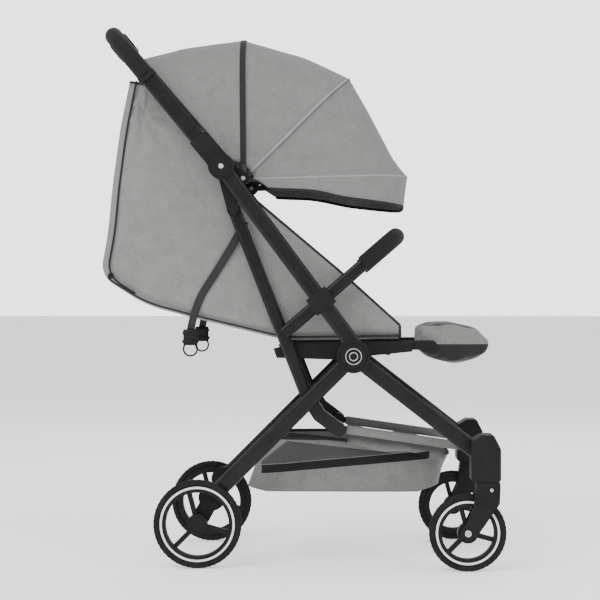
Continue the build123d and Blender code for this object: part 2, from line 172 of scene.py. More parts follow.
def new_tree(name, sizes):
    """A Geometry Nodes tree with named inputs for its sizes and its finish."""
    tree = bpy.data.node_groups.new(name, "GeometryNodeTree")
    tree.interface.new_socket("Geometry", in_out="INPUT", socket_type="NodeSocketGeometry")
    for size in sizes:
        tree.interface.new_socket(size, in_out="INPUT", socket_type="NodeSocketFloat")
    tree.interface.new_socket("Finish", in_out="INPUT", socket_type="NodeSocketMaterial")
    tree.interface.new_socket("Geometry", in_out="OUTPUT", socket_type="NodeSocketGeometry")
    return tree


def bars_on_line(name):
    """A tree that lays small bars along a line, each turned to the line, at an even pitch."""
    tree = new_tree(name, ("Pitch", "Along", "Wide", "High"))
    add = tree.nodes.new
    link = tree.links.new
    given = add("NodeGroupInput").outputs
    even = add("GeometryNodeResampleCurve")
    even.mode = "LENGTH"
    link(given["Geometry"], even.inputs["Curve"])
    link(given["Pitch"], even.inputs["Length"])
    size = add("ShaderNodeCombineXYZ")
    link(given["Along"], size.inputs["X"])
    link(given["Wide"], size.inputs["Y"])
    link(given["High"], size.inputs["Z"])
    bar = add("GeometryNodeMeshCube")
    link(size.outputs[0], bar.inputs["Size"])
    heading = add("GeometryNodeInputTangent")
    level = add("GeometryNodeInputNormal")
    face = add("FunctionNodeAlignEulerToVector")
    face.axis = "X"
    link(heading.outputs[0], face.inputs["Vector"])
    rise = add("FunctionNodeAlignEulerToVector")
    rise.axis = "Z"
    rise.pivot_axis = "X"
    link(face.outputs[0], rise.inputs["Rotation"])
    link(level.outputs[0], rise.inputs["Vector"])
    copies = add("GeometryNodeInstanceOnPoints")
    link(even.outputs[0], copies.inputs["Points"])
    link(bar.outputs["Mesh"], copies.inputs["Instance"])
    link(rise.outputs[0], copies.inputs["Rotation"])
    real = add("GeometryNodeRealizeInstances")
    link(copies.outputs[0], real.inputs[0])
    painted = add("GeometryNodeSetMaterial")
    link(real.outputs[0], painted.inputs["Geometry"])
    link(given["Finish"], painted.inputs["Material"])
    link(painted.outputs[0], add("NodeGroupOutput").inputs["Geometry"])
    return tree


def line_object(name, lines, closed):
    """A curve object of straight-sided lines, each a list of points."""
    curve = bpy.data.curves.new(name, "CURVE")
    curve.dimensions = "3D"
    for points in lines:
        spline = curve.splines.new("POLY")
        spline.points.add(len(points) - 1)
        spline.points.foreach_set("co", [c for p in points for c in (*p, 1.0)])
        spline.use_cyclic_u = closed
    made = bpy.data.objects.new(name, curve)
    bpy.context.scene.collection.objects.link(made)
    return made


def settle(piece):
    """Turns a piece and its modifiers into one plain mesh."""
    bpy.context.view_layer.update()
    seen = piece.evaluated_get(bpy.context.evaluated_depsgraph_get())
    mesh = bpy.data.meshes.new_from_object(seen)
    plain = bpy.data.objects.new(piece.name, mesh)
    bpy.context.scene.collection.objects.link(plain)
    name = piece.name
    bpy.data.objects.remove(piece)
    plain.name = name
    return plain


def lay_bars(name, lines, closed, sizes, material):
    """Bars along lines, as a plain mesh."""
    base = line_object(name, lines, closed)
    run = base.modifiers.new("bars", "NODES")
    run.node_group = bar_tree
    wanted = dict(zip(("Pitch", "Along", "Wide", "High"), sizes), Finish=material)
    for item in bar_tree.interface.items_tree:
        if item.in_out == "INPUT" and item.name in wanted:
            run[item.identifier] = wanted[item.name]
    return settle(base)


bar_tree = bars_on_line("bars_on_line")
for corner in corners:
    low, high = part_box("tyre_" + corner)
    middle = [(low[k] + high[k]) / 2 for k in range(3)]
    tread_radius = (high[2] - low[2]) / 2 - rib_size[2] * 0.2
    ring = [(middle[0] + tread_radius * cos(turn / 90 * pi), middle[1],
             middle[2] + tread_radius * sin(turn / 90 * pi)) for turn in range(180)]
    ribs = lay_bars("tread_" + corner, [ring], True, (rib_pitch, *rib_size), rubber)
    end, side = corner.split("_")
    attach(ribs, end + "_wheel_" + side)


# ---- Frame tubes
# Oval aluminium tubes, powder coated satin black, pinned in plastic hubs. The
# coating is slightly worn and dusty, and shines along the tubes' round edges.
tube_black, inputs, place = new_finish("powder_coated_tube", {"Coat Roughness": 0.15,
                                                              "Specular IOR Level": 0.16})
wear = place.grain(30.0, 5.0)
feed(inputs, Base_Color=wear.mix((0.005, 0.005, 0.0055, 1), (0.011, 0.011, 0.012, 1)),
     Roughness=0.2 + wear * 0.14, Coat_Weight=wear * 0.1,
     Normal=(place.grain(1100.0) + place.grain(380.0)).relief(0.12, 0.0003))
dress(tube_black, "main_tube_left", "main_tube_right", "front_leg_left", "front_leg_right", "rear_leg_left",
      "rear_leg_right", "handle_tube", "struts", "front_cross_tube", "rear_cross_tube", "basket_rails",
      "seat_cross_tubes", "bumper_bar")


# ---- Hubs, housings and brackets
# Glass-filled nylon mouldings with a fine spark-eroded grain: the hinge hubs,
# the wheel housings, the forks, the seat rails and the brake pedal.
nylon, inputs, place = new_finish("grained_nylon", {"Specular IOR Level": 0.11})
patch = place.grain(22.0, 3.0)
feed(inputs, Base_Color=patch.mix((0.006, 0.006, 0.0065, 1), (0.015, 0.015, 0.016, 1)),
     Roughness=0.42 + patch * 0.16, Normal=(place.grain(1300.0) + place.grain(2600.0)).relief(0.4, 0.0004))
dress(nylon, "upper_hubs", "lower_hubs", "canopy_brackets", "bumper_brackets", "grip_collars", "handle_hubs",
      "fold_button_block", "brake_pedal", "seat_rails", "legrest_arms", "front_housing_left",
      "front_housing_right", "rear_housing_left", "rear_housing_right", "fork_left", "fork_right")
dress(moulded, "hub_caps")
steel, inputs, place = new_finish("zinc_plated_steel", {"Metallic": 1.0})
feed(inputs, Base_Color=place.grain(400.0).mix((0.42, 0.42, 0.43, 1), (0.6, 0.6, 0.6, 1)),
     Roughness=0.28 + place.grain(150.0) * 0.2)
dress(steel, "pivot_pins")
button_grey, inputs, place = new_finish("grey_button_plastic", {"Coat Weight": 0.1})
feed(inputs, Base_Color=place.grain(120.0).mix((0.2, 0.2, 0.21, 1), (0.3, 0.3, 0.31, 1)),
     Roughness=0.4 + place.grain(500.0) * 0.1, Normal=place.grain(1400.0).relief(0.2, 0.0002))
dress(button_grey, "fold_button")


# ---- Grips
# Closed-cell foam sleeves, pushed on to the handle and the bumper bar. The skin
# has fine pores and a soft, uneven nap.
foam, inputs, place = new_finish("black_grip_foam", {"Specular IOR Level": 0.14, "Sheen Weight": 0.04})
pores = place.node("ShaderNodeTexVoronoi", {}, {"Vector": place, "Scale": 620.0}, "Distance")
nap = place.grain(70.0, 4.0)
feed(inputs, Base_Color=nap.mix((0.006, 0.006, 0.0065, 1), (0.015, 0.0145, 0.015, 1)),
     Roughness=0.7 + nap * 0.18, Normal=(pores + place.grain(240.0)).relief(0.5, 0.0006))
dress(foam, "handle_grip", "bumper_grip")


# ---- Hub emblem rings and screws
# Two plain raised rings on the lower hinge cap, and the round-headed screws that
# hold the fork arms and the upper hinge caps.
drawing_zero = 73.5
lower_hinge = (26.8, 395.3)
upper_hinge = (-218.3, 747.4)


def spot(x, y, z):
    """A point of the drawing in millimetres, as a point of the frame in metres."""
    return ((x + drawing_zero) / 1000, y / 1000, z / 1000)


def plain_mesh(name, parts, material):
    """An object of several closed shapes, each its points and faces."""
    points = []
    faces = []
    for more_points, more_faces in parts:
        start = len(points)
        points.extend(more_points)
        faces.extend([tuple(start + k for k in face) for face in more_faces])
    mesh = bpy.data.meshes.new(name)
    mesh.from_pydata([tuple(p) for p in points], [], faces)
    mesh.materials.append(material)
    mesh.polygons.foreach_set("use_smooth", [True] * len(faces))
    made = bpy.data.objects.new(name, mesh)
    bpy.context.scene.collection.objects.link(made)
    return made


def ribbon(points, normal, wide, thick, round_sides=10, closed=False):
    """A band along points, its flat side towards normal, wide across and thick through."""
    points = [Vector(p) for p in points]
    count = len(points)
    out = []
    for k, point in enumerate(points):
        if closed:
            heading = points[(k + 1) % count] - points[k - 1]
        else:
            heading = points[min(k + 1, count - 1)] - points[max(k - 1, 0)]
        heading.normalize()
        facing = Vector(normal[k] if isinstance(normal, list) else normal)
        side = heading.cross(facing).normalized()
        facing = side.cross(heading).normalized()
        for turn in range(round_sides):
            angle = 2 * pi * (turn + 0.5) / round_sides
            c = cos(angle)
            s = sin(angle)
            c = (abs(c) ** 0.5) * (1 if c > 0 else -1)
            s = (abs(s) ** 0.7) * (1 if s > 0 else -1)
            out.append(point + side * (c * wide / 2) + facing * (s * thick / 2))
    faces = []
    for k in range(count if closed else count - 1):
        after = (k + 1) % count
        for turn in range(round_sides):
            step = (turn + 1) % round_sides
            faces.append((k * round_sides + turn, after * round_sides + turn,
                          after * round_sides + step, k * round_sides + step))
    if not closed:
        faces.append(tuple(range(round_sides)))
        faces.append(tuple(reversed(range((count - 1) * round_sides, count * round_sides))))
    return out, faces


def face_out(piece):
    """Turns a closed piece's faces outwards."""
    work = bmesh.new()
    work.from_mesh(piece.data)
    bmesh.ops.recalc_face_normals(work, faces=work.faces)
    work.to_mesh(piece.data)
    work.free()
    return piece


def circle(centre, radius, y, steps=48):
    return [spot(centre[0] + radius * cos(2 * pi * k / steps), y,
                 centre[1] + radius * sin(2 * pi * k / steps)) for k in range(steps)]


emblem_face = 234.4
emblem_radii = (7.5, 14.5)
emblem = [ribbon(circle(lower_hinge, radius, side * emblem_face), (0, side, 0), 0.0016, 0.0012, 8, True)
          for side in (-1, 1) for radius in emblem_radii]
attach(face_out(plain_mesh("hub_emblem_rings", emblem, steel)), "frame")


def screw_head(x, y, z, radius, side):
    """A low round head with a recess, on a face that looks along Y; also a bow's eye or a snap."""
    steps = 12
    profile = [(radius, 0.0), (radius * 0.96, 0.5), (radius * 0.7, 1.2), (radius * 0.42, 1.3),
               (radius * 0.4, 0.5)]
    points = []
    for ring_radius, rise in profile:
        for k in range(steps):
            turn = 2 * pi * k / steps
            points.append(spot(x + ring_radius * cos(turn), y + side * rise, z + ring_radius * sin(turn)))
    faces = [(a * steps + k, a * steps + (k + 1) % steps,
              (a + 1) * steps + (k + 1) % steps, (a + 1) * steps + k)
             for a in range(len(profile) - 1) for k in range(steps)]
    faces.append(tuple(reversed(range(steps))))
    faces.append(tuple(range((len(profile) - 1) * steps, len(profile) * steps)))
    return points, faces


front_axle = (237, 71)
fork_screw = (280, 151)
for label, sign in (("left", 1), ("right", -1)):
    low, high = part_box("fork_" + label)
    outer = (high[1] if sign > 0 else low[1]) * 1000
    heads = [screw_head(front_axle[0], outer, front_axle[1], 6.5, sign),
             screw_head(fork_screw[0], outer, fork_screw[1], 3.6, sign)]
    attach(face_out(plain_mesh("fork_screws_" + label, heads, steel)), "fork_" + label)
hinge_screw_face = 230.2
heads = [screw_head(upper_hinge[0], sign * hinge_screw_face, upper_hinge[1], 5.0, sign) for sign in (-1, 1)]
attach(face_out(plain_mesh("frame_screws", heads, steel)), "frame")


# ---- Seat shell
# A tub of light grey melange cloth with side walls, a back and a seat bottom, cut
# from one wrap and sewn round the seat rails. Its upper rear corner is gathered.
def cloth_finish(name, light, dark, depth=0.35):
    """Woven melange polyester: a fine plain weave, mixed yarn colours and soft fading."""
    material, inputs, place = new_finish(name, {"Specular IOR Level": 0.15, "Sheen Weight": 0.08,
                                                "Sheen Roughness": 0.5})
    x = place.part(0)
    y = place.part(1)
    z = place.part(2)
    thread = 2 * pi / 0.0013
    weave = (x * thread).wave() * ((y + z) * thread).wave()
    yarn = place.grain(520.0, 3.0) * 0.7 + place.grain(46.0, 4.0) * 0.3
    tone = (yarn - 0.32) * 2.4
    feed(inputs, Base_Color=tone.mix((*dark, 1), (*light, 1)), Roughness=0.78 + yarn * 0.16,
         Normal=(weave * 0.4 + place.grain(700.0) + place.grain(60.0, 3.0) * 1.5).relief(depth, 0.0007))
    return material


shell_cloth = cloth_finish("light_grey_melange", (0.25, 0.248, 0.24), (0.158, 0.156, 0.15))
shell_thick = 0.0026
gather_centre = (-372.0, 852.0)


def bend_line(points, share):
    """The point at that share of the way along a line of points."""
    spans = [hypot(b[0] - a[0], b[1] - a[1]) for a, b in zip(points, points[1:])]
    left = share * sum(spans)
    for (a, b), span in zip(zip(points, points[1:]), spans):
        if left <= span or b is points[-1]:
            part = min(left / span, 1.0)
            return (a[0] + (b[0] - a[0]) * part, a[1] + (b[1] - a[1]) * part)
        left -= span


def smooth_line(points, share, reach=0.05):
    """The same with its corners eased, by averaging the points near it."""
    reach = min(reach, share, 1 - share)
    near = [bend_line(points, share + reach * k / 4) for k in range(-4, 5)]
    return (sum(p[0] for p in near) / 9, sum(p[1] for p in near) / 9)


def wrap_row(root, top, half, corner, sides=18, arcs=7, tops=18, crown=0.0):
    """Points from root up one side to top, round a corner, across, and down the other side."""
    reach = hypot(top[0] - root[0], top[1] - root[1])
    along = ((top[0] - root[0]) / reach, (top[1] - root[1]) / reach)
    corner = min(corner, reach * 0.8)
    run = [((reach - corner) * k / sides, -half) for k in range(sides)]
    run += [(reach - corner + corner * sin(pi / 2 * k / arcs), -half + corner * (1 - cos(pi / 2 * k / arcs)))
            for k in range(arcs + 1)]
    flat = half - corner
    across = [-flat + 2 * flat * k / tops for k in range(1, tops)]
    over = [(reach + crown * (1 - (y / flat) ** 2), y) for y in across]
    run = run + over + [(r, -y) for r, y in reversed(run)]
    return [(root[0] + along[0] * r, y, root[1] + along[1] * r) for r, y in run]


def cloth(name, rows, thick, material):
    """A sheet of cloth through rows of drawing points, given its thickness and made a closed mesh."""
    wide = len(rows[0])
    points = [spot(*p) for row in rows for p in row]
    faces = [(a * wide + k, a * wide + k + 1, (a + 1) * wide + k + 1, (a + 1) * wide + k)
             for a in range(len(rows) - 1) for k in range(wide - 1)]
    sheet = plain_mesh(name, [(points, faces)], material)
    wall = sheet.modifiers.new("wall", "SOLIDIFY")
    wall.thickness = thick
    wall.offset = 0.0
    wall.use_even_offset = False
    return face_out(settle(sheet))


def flat_size(rows):
    """The cloth's longest row, its longest line across the rows, and its area, in metres."""
    points = [[Vector(spot(*p)) for p in row] for row in rows]
    width = max(sum((b - a).length for a, b in zip(row, row[1:])) for row in points)
    length = max(sum((b[k] - a[k]).length for a, b in zip(points, points[1:])) for k in range(len(points[0])))
    area = 0.0
    for a, b in zip(points, points[1:]):
        for k in range(len(a) - 1):
            area += ((a[k + 1] - a[k]).cross(b[k] - a[k]).length
                     + (a[k + 1] - b[k + 1]).cross(b[k] - b[k + 1]).length) / 2
    return width, length, area


def stow(piece, body):
    """Rides a soft piece on its body, and gives it a mesh of its own."""
    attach(piece, body)
    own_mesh(piece)


def ripple(x, y, z):
    """How far the cloth's folds stand out of its side, in millimetres."""
    near = exp(-((x - gather_centre[0]) ** 2 + (z - gather_centre[1]) ** 2) / 5200.0)
    turn = atan2(z - gather_centre[1], x - gather_centre[0])
    gathers = near * 3.4 * sin(turn * 9.0 + 0.6)
    drape = 1.5 * sin(x * 0.021 + z * 0.013) + 0.9 * sin(x * 0.043 - z * 0.051)
    return gathers + drape


shell_bottom = [(-398, 914), (-417, 820), (-432, 707), (-440, 622), (-455, 546), (-366, 490), (-272, 465),
                (-102, 424), (115, 427)]
shell_rim = [(-357, 905), (-221, 752), (-168, 697), (11, 546), (115, 452)]
shell_steps = 84
shell_half = 147.0
shell_corner = 26.0
shell_limit = 149.2
side_starts = 125
shell_rows = []
for step in range(shell_steps + 1):
    share = step / shell_steps
    rim = smooth_line(shell_rim, share, 0.03)
    base = smooth_line(shell_bottom, share, 0.03)
    row = []
    for x, y, z in wrap_row(rim, base, shell_half, shell_corner):
        if abs(y) > side_starts:
            y += (ripple(x, y, z) - 1.6) * (1 if y > 0 else -1)
        row.append((x, max(-shell_limit, min(shell_limit, y)), z))
    shell_rows.append(row)
shell = cloth("seat_shell_cloth", shell_rows, shell_thick, shell_cloth)
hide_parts("seat_shell")
width, length, area = flat_size(shell_rows)
stow(shell, "frame")


# ---- Piping and stitching on the shell
# Black woven tape bound over the tub's edges: up the front edge, over the top
# and along the bottom. A row of stitches runs beside each tape.
tape, inputs, place = new_finish("black_binding_tape", {"Specular IOR Level": 0.25})
rib_rate = 3600.0
weft = (place.part(0) * rib_rate + place.part(2) * rib_rate + place.part(1) * rib_rate).wave()
fuzz = place.grain(300.0)
feed(inputs, Base_Color=fuzz.mix((0.008, 0.008, 0.009, 1), (0.024, 0.024, 0.025, 1)),
     Roughness=0.66 + fuzz * 0.2, Normal=(weft + fuzz).relief(0.4, 0.0004))
thread_grey, inputs, place = new_finish("grey_sewing_thread", {"Specular IOR Level": 0.3})
feed(inputs, Base_Color=place.grain(800.0).mix((0.1, 0.1, 0.1, 1), (0.2, 0.2, 0.2, 1)),
     Roughness=0.6 + place.grain(900.0) * 0.2)
edge_lines = []
for k in (0, -1):
    edge_lines.append([spot(*row[k]) for row in shell_rows])
edge_lines.append([spot(*p) for p in shell_rows[0]])
edge_lines.append([spot(*p) for p in shell_rows[-1]])
side_seams = []
for sign in (-1, 1):
    run = []
    for step in range(34, shell_steps + 1):
        x, z = smooth_line(shell_bottom, step / shell_steps, 0.03)
        run.append(spot(x, sign * 148.6, z + 5.0))
    side_seams.append(run)
    upper = []
    for step in range(0, 39):
        x, z = smooth_line(shell_bottom, step / shell_steps, 0.03)
        upper.append(spot(x + 15.0, sign * 149.0, z))
    side_seams.append(upper)
bound = [ribbon(line, (0, 1, 0), 0.0052, 0.0042) for line in edge_lines[:2]]
bound += [ribbon(line, (0.6, 0, 0.8), 0.0046, 0.005) for line in edge_lines[2:]]
bound += [ribbon(line, (0, 1, 0), 0.0038, 0.0026) for line in side_seams]
stow(face_out(plain_mesh("seat_shell_piping", bound, tape)), "frame")
stitch_size = (0.0062, 0.0038, 0.0006, 0.0005)
stitch_lines = []
for k in (5, -6):
    stitch_lines.append([(p[0], p[1] + (0.0014 if p[1] > 0 else -0.0014), p[2])
                         for p in [spot(*row[k]) for row in shell_rows]])
stitches = lay_bars("seat_shell_stitches", stitch_lines, False, stitch_size, thread_grey)
stow(stitches, "frame")


# ---- Seat cushion, backrest and legrest pad
# Foam pads in the same cloth, sewn with channels across them. They are blown up
# from slightly smaller blocks, so that they crown between their seams.
pad_cloth = cloth_finish("pad_melange", (0.22, 0.217, 0.21), (0.13, 0.128, 0.123), 0.45)


def swell(node, name, inset, most, voxel=0.006, pressure=4.0):
    """A stuffed pad that starts smaller than the CAD block and is blown up by a cloth simulation."""
    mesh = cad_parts[node].data.copy()
    mesh.materials.clear()
    work = bmesh.new()
    work.from_mesh(mesh)
    bmesh.ops.remove_doubles(work, verts=work.verts, dist=0.00001)
    low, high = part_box(node)
    for vert in work.verts:
        for k in range(3):
            middle = (low[k] + high[k]) / 2
            half = (high[k] - low[k]) / 2
            vert.co[k] = middle + (vert.co[k] - middle) * (half - inset) / half
    work.to_mesh(mesh)
    work.free()
    pad = bpy.data.objects.new(name, mesh)
    bpy.context.scene.collection.objects.link(pad)
    even = pad.modifiers.new("even", "REMESH")
    even.mode = "VOXEL"
    even.voxel_size = voxel
    pad = settle(pad)
    start = [v.co.copy() for v in pad.data.vertices]
    sim = pad.modifiers.new("sim", "CLOTH")
    sim.settings.use_pressure = True
    sim.settings.uniform_pressure_force = pressure
    sim.settings.effector_weights.gravity = 0.0
    for number in range(1, 21):
        bpy.context.scene.frame_set(number)
    seen = pad.evaluated_get(bpy.context.evaluated_depsgraph_get())
    found = [v.co.copy() for v in seen.data.vertices]
    pad.modifiers.remove(sim)
    for vert, was, now in zip(pad.data.vertices, start, found):
        move = now - was
        if move.length > most:
            move = move.normalized() * most
        vert.co = was + move
    bpy.context.scene.frame_set(1)
    finer = pad.modifiers.new("finer", "SUBSURF")
    finer.levels = 1
    finer.render_levels = 1
    pad = settle(pad)
    pad.data.polygons.foreach_set("use_smooth", [True] * len(pad.data.polygons))
    return pad


def sew(pad, where, axis, side, width, depth):
    """Presses a sewn channel of that width and depth into one side, at each place along axis."""
    for vert in pad.data.vertices:
        for mark in where:
            off = (vert.co.dot(axis) - mark) / width
            if abs(off) < 3:
                vert.co -= side * (depth * exp(-off * off))


cushion = swell("seat_cushion", "seat_cushion_pad", 0.005, 0.007)
cushion.data.materials.append(pad_cloth)
sew(cushion, [0.0, 0.07, 0.14], Vector((1, 0, 0)), Vector((0, 0, 1)), 0.006, 0.004)
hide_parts("seat_cushion")
stow(cushion, "frame")

backrest_pivot = (-112.0, 446.0)
backrest_end = (-432.0, 562.0)
back = swell("backrest", "backrest_pad", 0.005, 0.007)
back.data.materials.append(pad_cloth)
up = Vector((backrest_end[0] - backrest_pivot[0], 0, backrest_end[1] - backrest_pivot[1])).normalized()
out = Vector((-up.z, 0, up.x)) * (-1 if up.x < 0 else 1)
foot = Vector(spot(backrest_pivot[0], 0, backrest_pivot[1])).dot(up)
sew(back, [foot + 0.09, foot + 0.18, foot + 0.26], up, out, 0.006, 0.004)
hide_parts("backrest")
stow(back, "backrest")

legrest_cloth, inputs, place = new_finish("legrest_two_tone_cloth", {"Specular IOR Level": 0.2,
                                                                    "Sheen Weight": 0.2})
yarn = place.grain(520.0, 3.0)
grey = ((yarn - 0.32) * 2.4).mix((0.125, 0.123, 0.118, 1), (0.215, 0.212, 0.205, 1))
black = yarn.mix((0.007, 0.007, 0.0075, 1), (0.02, 0.02, 0.021, 1))
upper = place.part(2) > 0.4155
grip_panel = (place.part(2) > 0.447 - (place.part(0) - 0.255) * 0.12) * (place.part(1).size() < 0.112)
grip_panel = grip_panel * (place.part(0) > 0.232)
feed(inputs, Base_Color=(upper * (1 - grip_panel)).mix(black, grey),
     Roughness=0.74 + yarn * 0.16, Normal=(yarn + place.grain(60.0)).relief(0.4, 0.0008))
legrest = swell("legrest_pad", "legrest_cover", 0.004, 0.006)
legrest.data.materials.append(legrest_cloth)
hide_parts("legrest_pad")
stow(legrest, "legrest")


# ---- Canopy bows
# Three flat spring-plastic hoops that share one pivot each side. The cloth
# sections are sewn round them, so each bow shows as a slim dark strip.
canopy_pivot = (-179.4, 727.4)
rear_angle = 90.5
middle_angle = 44.5
front_angle = 1.5


def ray(angle, reach):
    """A point at that distance from the canopy's pivot, at that angle above the X axis."""
    return (canopy_pivot[0] + reach * cos(radians(angle)), canopy_pivot[1] + reach * sin(radians(angle)))


bow_plastic, inputs, place = new_finish("spring_plastic", {"Specular IOR Level": 0.4})
streak = place.grain(140.0, 3.0)
feed(inputs, Base_Color=streak.mix((0.012, 0.012, 0.013, 1), (0.03, 0.03, 0.031, 1)),
     Roughness=0.38 + streak * 0.2, Normal=place.grain(900.0).relief(0.2, 0.0003))
for name, angle, reach, half, body in (("rear_bow", rear_angle, 262.0, 169.0, "frame"),
                                       ("middle_bow", middle_angle, 272.0, 163.0, "canopy_middle"),
                                       ("front_bow", front_angle, 281.0, 157.0, "canopy_front")):
    row = wrap_row(canopy_pivot, ray(angle, reach), half, 80.0, 24, 10, 24)
    across = (-sin(radians(angle)), 0, cos(radians(angle)))
    points, faces = ribbon([spot(*p) for p in row], across, 0.0038, 0.0118)
    eyes = [screw_head(canopy_pivot[0], sign * (half - 1.5), canopy_pivot[1], 9.0, sign) for sign in (-1, 1)]
    hoop = face_out(plain_mesh(name + "_strip", [(points, faces)] + eyes, bow_plastic))
    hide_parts(name)
    stow(hoop, body)


# ---- Canopy cloth
# Three sections of grey melange cloth, sewn to the bows and drawn tight over
# them. A soft visor hangs from the front bow. Black tape covers the rear bow.
canopy_cloth = cloth_finish("canopy_melange", (0.222, 0.22, 0.213), (0.138, 0.137, 0.132))
canopy_corner = 84.0
rear_half = 173.6
middle_half = 170.2
front_half = 166.8
canopy_limit = 175.2
canopy_side = 90
bow_root = 20
rear_root = 28
rear_reach = 268.6
middle_reach = 278.6
visor_reach = 309.6
visor_steps = 13


def canopy_rows(roots, tops, steps, folds, seed, half):
    """Rows of points from one bow to the next, a little slack between the two."""
    rows = []
    for step in range(steps + 1):
        share = step / steps
        root = bend_line(roots, share)
        top = smooth_line(tops, share, 0.1)
        reach = hypot(top[0] - root[0], top[1] - root[1])
        row = []
        for x, y, z in wrap_row(root, top, half, canopy_corner, 22, 9, 22, 1.5):
            far = hypot(x - root[0], z - root[1]) / reach
            slack = sin(pi * share)
            crease = folds * slack * sin(2 * pi * (share * 3.3 + far * 1.2 + seed)) * min(1.0, 1.4 * far)
            if abs(y) > canopy_side:
                y = (abs(y) + crease * 0.55 - slack * 1.4) * (1 if y > 0 else -1)
            else:
                pull = slack * (0.9 + 0.5 * sin(y * 0.05 + seed * 7))
                x -= (x - root[0]) / reach * pull
                z -= (z - root[1]) / reach * pull
            row.append((x, max(-canopy_limit, min(canopy_limit, y)), z))
        rows.append(row)
    return rows


gap = 0.35
rear_rows = canopy_rows([ray(rear_angle + gap, rear_root), (-206, 764)],
                        [ray(rear_angle + gap * 0.3, rear_reach), (-290, 982.6), (-377, 960.6)],
                        30, 3.0, 0.1, rear_half)
middle_rows = canopy_rows([ray(middle_angle + gap, bow_root), ray(rear_angle - gap, rear_root)],
                          [ray(middle_angle + gap * 0.3, middle_reach), (-62, 962.0),
                           ray(rear_angle - gap * 0.3, rear_reach)], 34, 3.2, 0.45, middle_half)
front_rows = canopy_rows([ray(front_angle, bow_root), ray(middle_angle - gap, bow_root)],
                         [ray(front_angle, visor_reach), (106.0, 764), (56.0, 860.0),
                          ray(middle_angle - gap * 0.3, middle_reach)], 34, 3.2, 0.8, front_half)
visor_rows = []
for step in range(visor_steps, 0, -1):
    share = step / visor_steps
    root = bend_line([ray(front_angle, bow_root), (-130, 709)], share)
    top = bend_line([ray(front_angle, visor_reach), (122.6, 677.5)], share)
    reach = hypot(top[0] - root[0], top[1] - root[1])
    row = []
    for x, y, z in wrap_row(root, top, front_half, canopy_corner, 22, 9, 22, 1.5):
        far = hypot(x - root[0], z - root[1]) / reach
        fold = 2.4 * share * sin(2 * pi * far * 3.4 + 0.7) * min(1.0, 3 * far)
        dip = 5.0 * share * sin(pi * min(1.0, far * 1.6)) ** 2
        if abs(y) > canopy_side:
            y = (abs(y) + fold * 0.5 - 0.7 * share) * (1 if y > 0 else -1)
        row.append((x, max(-canopy_limit, min(canopy_limit, y)), z + dip))
    visor_rows.append(row)
front_rows = visor_rows + front_rows
for name, rows, body in (("canopy_rear", rear_rows, "frame"), ("canopy_middle", middle_rows, "canopy_middle"),
                         ("canopy_front", front_rows, "canopy_front")):
    section = cloth(name + "_cloth", rows, 0.0018, canopy_cloth)
    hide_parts(name)
    width, length, area = flat_size(rows)
    stow(section, body)


def lifted(row, out):
    """A row of points moved outwards, off the canopy's pivot and its middle plane."""
    moved = []
    for x, y, z in row:
        away = hypot(x - canopy_pivot[0], z - canopy_pivot[1])
        part = min(1.0, abs(y) / front_half) ** 6
        rise = out * (1 - part)
        moved.append(spot(x + (x - canopy_pivot[0]) / away * rise, y + out * part * (1 if y > 0 else -1),
                          z + (z - canopy_pivot[1]) / away * rise))
    return moved


def outward(points):
    """The way a canopy's surface faces at each point of a row."""
    found = []
    for k, point in enumerate(points):
        x, y, z = point
        heading = Vector(points[min(k + 1, len(points) - 1)]) - Vector(points[max(k - 1, 0)])
        middle = Vector(spot(canopy_pivot[0], 0, canopy_pivot[1]))
        away = Vector(point) - middle
        facing = away - heading.normalized() * away.dot(heading.normalized())
        if abs(y) > 0.15:
            facing = Vector((0, 1 if y > 0 else -1, 0))
        found.append(facing.normalized())
    return found


def edge_tape(row, out, wide, thick):
    points = lifted(row, out)
    return ribbon(points, outward(points), wide, thick)


rear_tape = [edge_tape(rear_rows[0], 0.9, 0.011, 0.0016), edge_tape(rear_rows[-1], 0.0, 0.0045, 0.0035)]
stow(face_out(plain_mesh("canopy_rear_tape", rear_tape, tape)), "frame")
middle_tape = [edge_tape(middle_rows[0], 0.6, 0.0046, 0.0022)]
seam_grey = cloth_finish("seam_piping_grey", (0.3, 0.297, 0.288), (0.21, 0.208, 0.2))
stow(face_out(plain_mesh("canopy_middle_piping", middle_tape, seam_grey)), "canopy_middle")
front_tape = [edge_tape(front_rows[0], 0.2, 0.006, 0.0034)]
stow(face_out(plain_mesh("canopy_visor_binding", front_tape, tape)), "canopy_front")
crease_tape = [edge_tape(front_rows[visor_steps], 0.5, 0.0034, 0.0018)]
stow(face_out(plain_mesh("canopy_front_piping", crease_tape, seam_grey)), "canopy_front")
for name, rows, wanted, body in (("rear", rear_rows, (2, -3), "frame"),
                                 ("middle", middle_rows, (2, -3), "canopy_middle"),
                                 ("front", front_rows, (2, 16, -3), "canopy_front")):
    runs = [lifted(rows[k], 1.1) for k in wanted]
    stow(lay_bars("canopy_" + name + "_stitches", runs, False, stitch_size, thread_grey), body)


